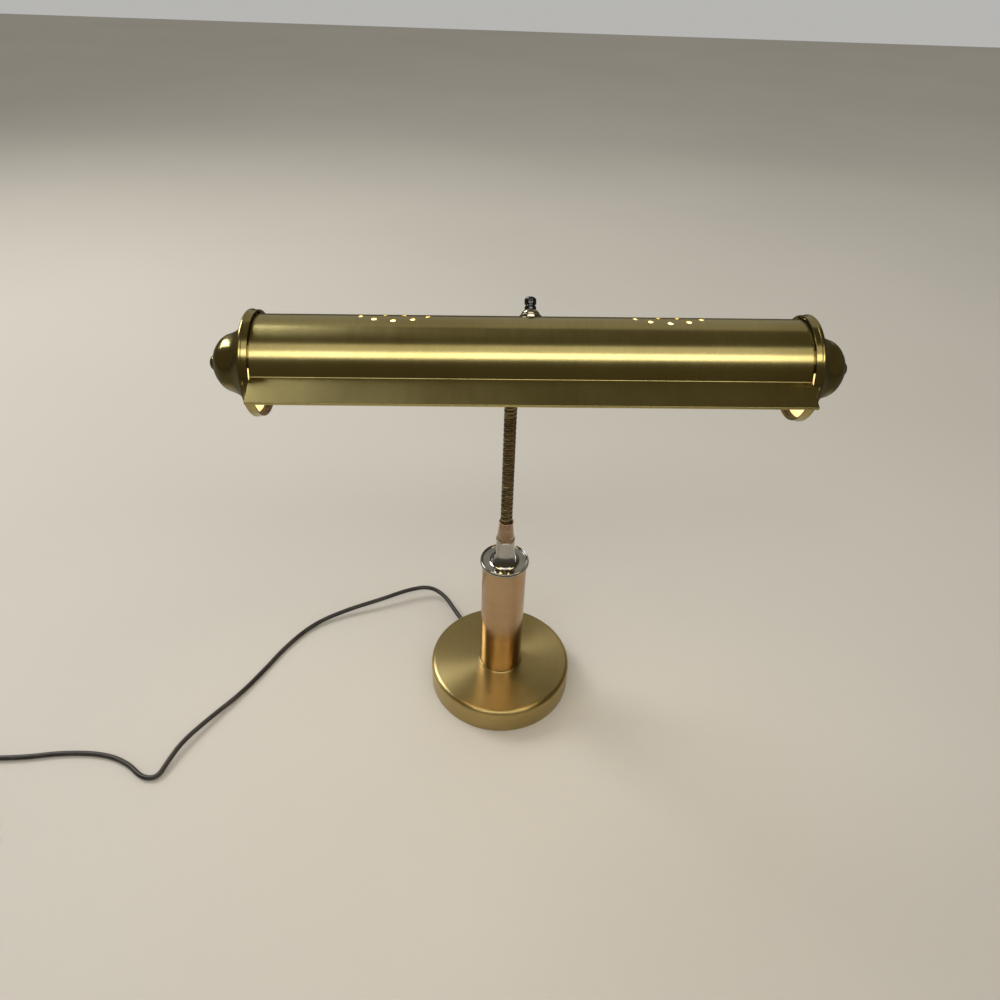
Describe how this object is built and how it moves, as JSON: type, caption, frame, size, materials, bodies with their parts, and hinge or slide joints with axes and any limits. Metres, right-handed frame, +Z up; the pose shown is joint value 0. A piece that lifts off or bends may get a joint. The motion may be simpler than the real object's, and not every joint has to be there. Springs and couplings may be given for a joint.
{
  "type": "piano lamp",
  "caption": "Gooseneck piano lamp with a round weighted base, brass post, long half-open brass shade over tubular bulbs, top switch and mains cord.",
  "frame": {"origin": "centre of the round base, on the table", "axes": "+X along the shade to the right as seen from the front, +Y to the back, +Z up"},
  "size_m": [0.8522, 0.339, 0.4595],
  "materials": {
    "satin_brass": "brushed, satin lacquer",
    "chrome": "polished",
    "ferrule_brass": "aged satin",
    "neck_brass": "antique, ribbed",
    "cast_iron": "as cast",
    "felt": "felt",
    "zinc_steel": "zinc plated",
    "nickel": "nickel plated",
    "switch_black": "moulded",
    "phenolic": "moulded",
    "screw_brass": "plain",
    "bulb_glass": "frosted",
    "bulb_cap": "rolled",
    "filament": "wire",
    "cord_jacket": "satin",
    "cord_rubber": "matt",
    "plug_plastic": "moulded",
    "blade_brass": "plain"
  },
  "bodies": {
    "root": {"base_cover": "satin_brass", "base_felt": "felt", "base_nut": "zinc_steel", "base_washer": "zinc_steel", "base_weight": "cast_iron", "cap_bell": "chrome", "cap_dish": "chrome", "cap_nut": "zinc_steel", "cord": "cord_jacket", "cord_bushing": "cord_rubber", "cord_coil": "cord_jacket", "cord_inlet": "cord_jacket", "cord_tie": "cord_rubber", "lower_ferrule": "ferrule_brass", "neck_foot": "neck_brass", "plug_blades": "blade_brass", "plug_body": "plug_plastic", "post_centring_disc": "zinc_steel", "post_foot_ring": "satin_brass", "post_tube": "satin_brass", "tie_rod": "zinc_steel"},
    "neck_1": {"neck_link_1": "neck_brass"},
    "neck_2": {"neck_link_2": "neck_brass"},
    "neck_3": {"neck_link_3": "neck_brass"},
    "neck_4": {"neck_link_4": "neck_brass"},
    "neck_5": {"neck_link_5": "neck_brass"},
    "neck_6": {"neck_link_6": "neck_brass"},
    "head": {"bulb_cap_left": "bulb_cap", "bulb_cap_right": "bulb_cap", "bulb_filament_left": "filament", "bulb_filament_right": "filament", "bulb_glass_left": "bulb_glass", "bulb_glass_right": "bulb_glass", "cap_clips_left": "zinc_steel", "cap_clips_right": "zinc_steel", "end_cap_left": "satin_brass", "end_cap_right": "satin_brass", "neck_nipple": "zinc_steel", "neck_tip": "neck_brass", "nipple_nut": "zinc_steel", "nipple_washer": "zinc_steel", "shade_seat": "ferrule_brass", "shade_shell": "satin_brass", "socket_bracket": "zinc_steel", "socket_contact_left": "screw_brass", "socket_contact_right": "screw_brass", "socket_left": "phenolic", "socket_right": "phenolic", "socket_screws": "zinc_steel", "socket_shell_left": "screw_brass", "socket_shell_right": "screw_brass", "switch_body": "phenolic", "switch_nut": "nickel", "switch_ring": "nickel", "switch_washer": "zinc_steel", "upper_ferrule": "ferrule_brass"},
    "knob": {"switch_knob": "switch_black", "switch_shaft": "zinc_steel"}
  },
  "joints": [
    {"name": "neck_nod_1", "type": "hinge", "parent": "root", "child": "neck_1", "pos_m": [0, 0, 0.2295], "axis": [1, 0, 0], "range_deg": [-20, 20]},
    {"name": "neck_sway_1", "type": "hinge", "parent": "neck_1", "child": "neck_2", "pos_m": [0, 0.0032, 0.25378], "axis": [0, 0.9914, -0.1305], "range_deg": [-20, 20]},
    {"name": "neck_nod_2", "type": "hinge", "parent": "neck_2", "child": "neck_3", "pos_m": [0, 0.00639, 0.27806], "axis": [1, 0, 0], "range_deg": [-20, 20]},
    {"name": "neck_sway_2", "type": "hinge", "parent": "neck_3", "child": "neck_4", "pos_m": [0, 0.00959, 0.30234], "axis": [0, 0.9914, -0.1305], "range_deg": [-20, 20]},
    {"name": "neck_nod_3", "type": "hinge", "parent": "neck_4", "child": "neck_5", "pos_m": [0, 0.01279, 0.32662], "axis": [1, 0, 0], "range_deg": [-20, 20]},
    {"name": "neck_sway_3", "type": "hinge", "parent": "neck_5", "child": "neck_6", "pos_m": [-0.00001, 0.01165, 0.35086], "axis": [0, 0.9577, 0.2877], "range_deg": [-20, 20]},
    {"name": "neck_nod_4", "type": "hinge", "parent": "neck_6", "child": "head", "pos_m": [-0.00001, -0.00075, 0.37168], "axis": [1, 0, 0], "range_deg": [-20, 20]},
    {"name": "switch_turn", "type": "hinge", "parent": "head", "child": "knob", "pos_m": [0.0101, -0.01316, 0.4547], "axis": [-0.0119, 0.6428, 0.766], "continuous": true}
  ]
}
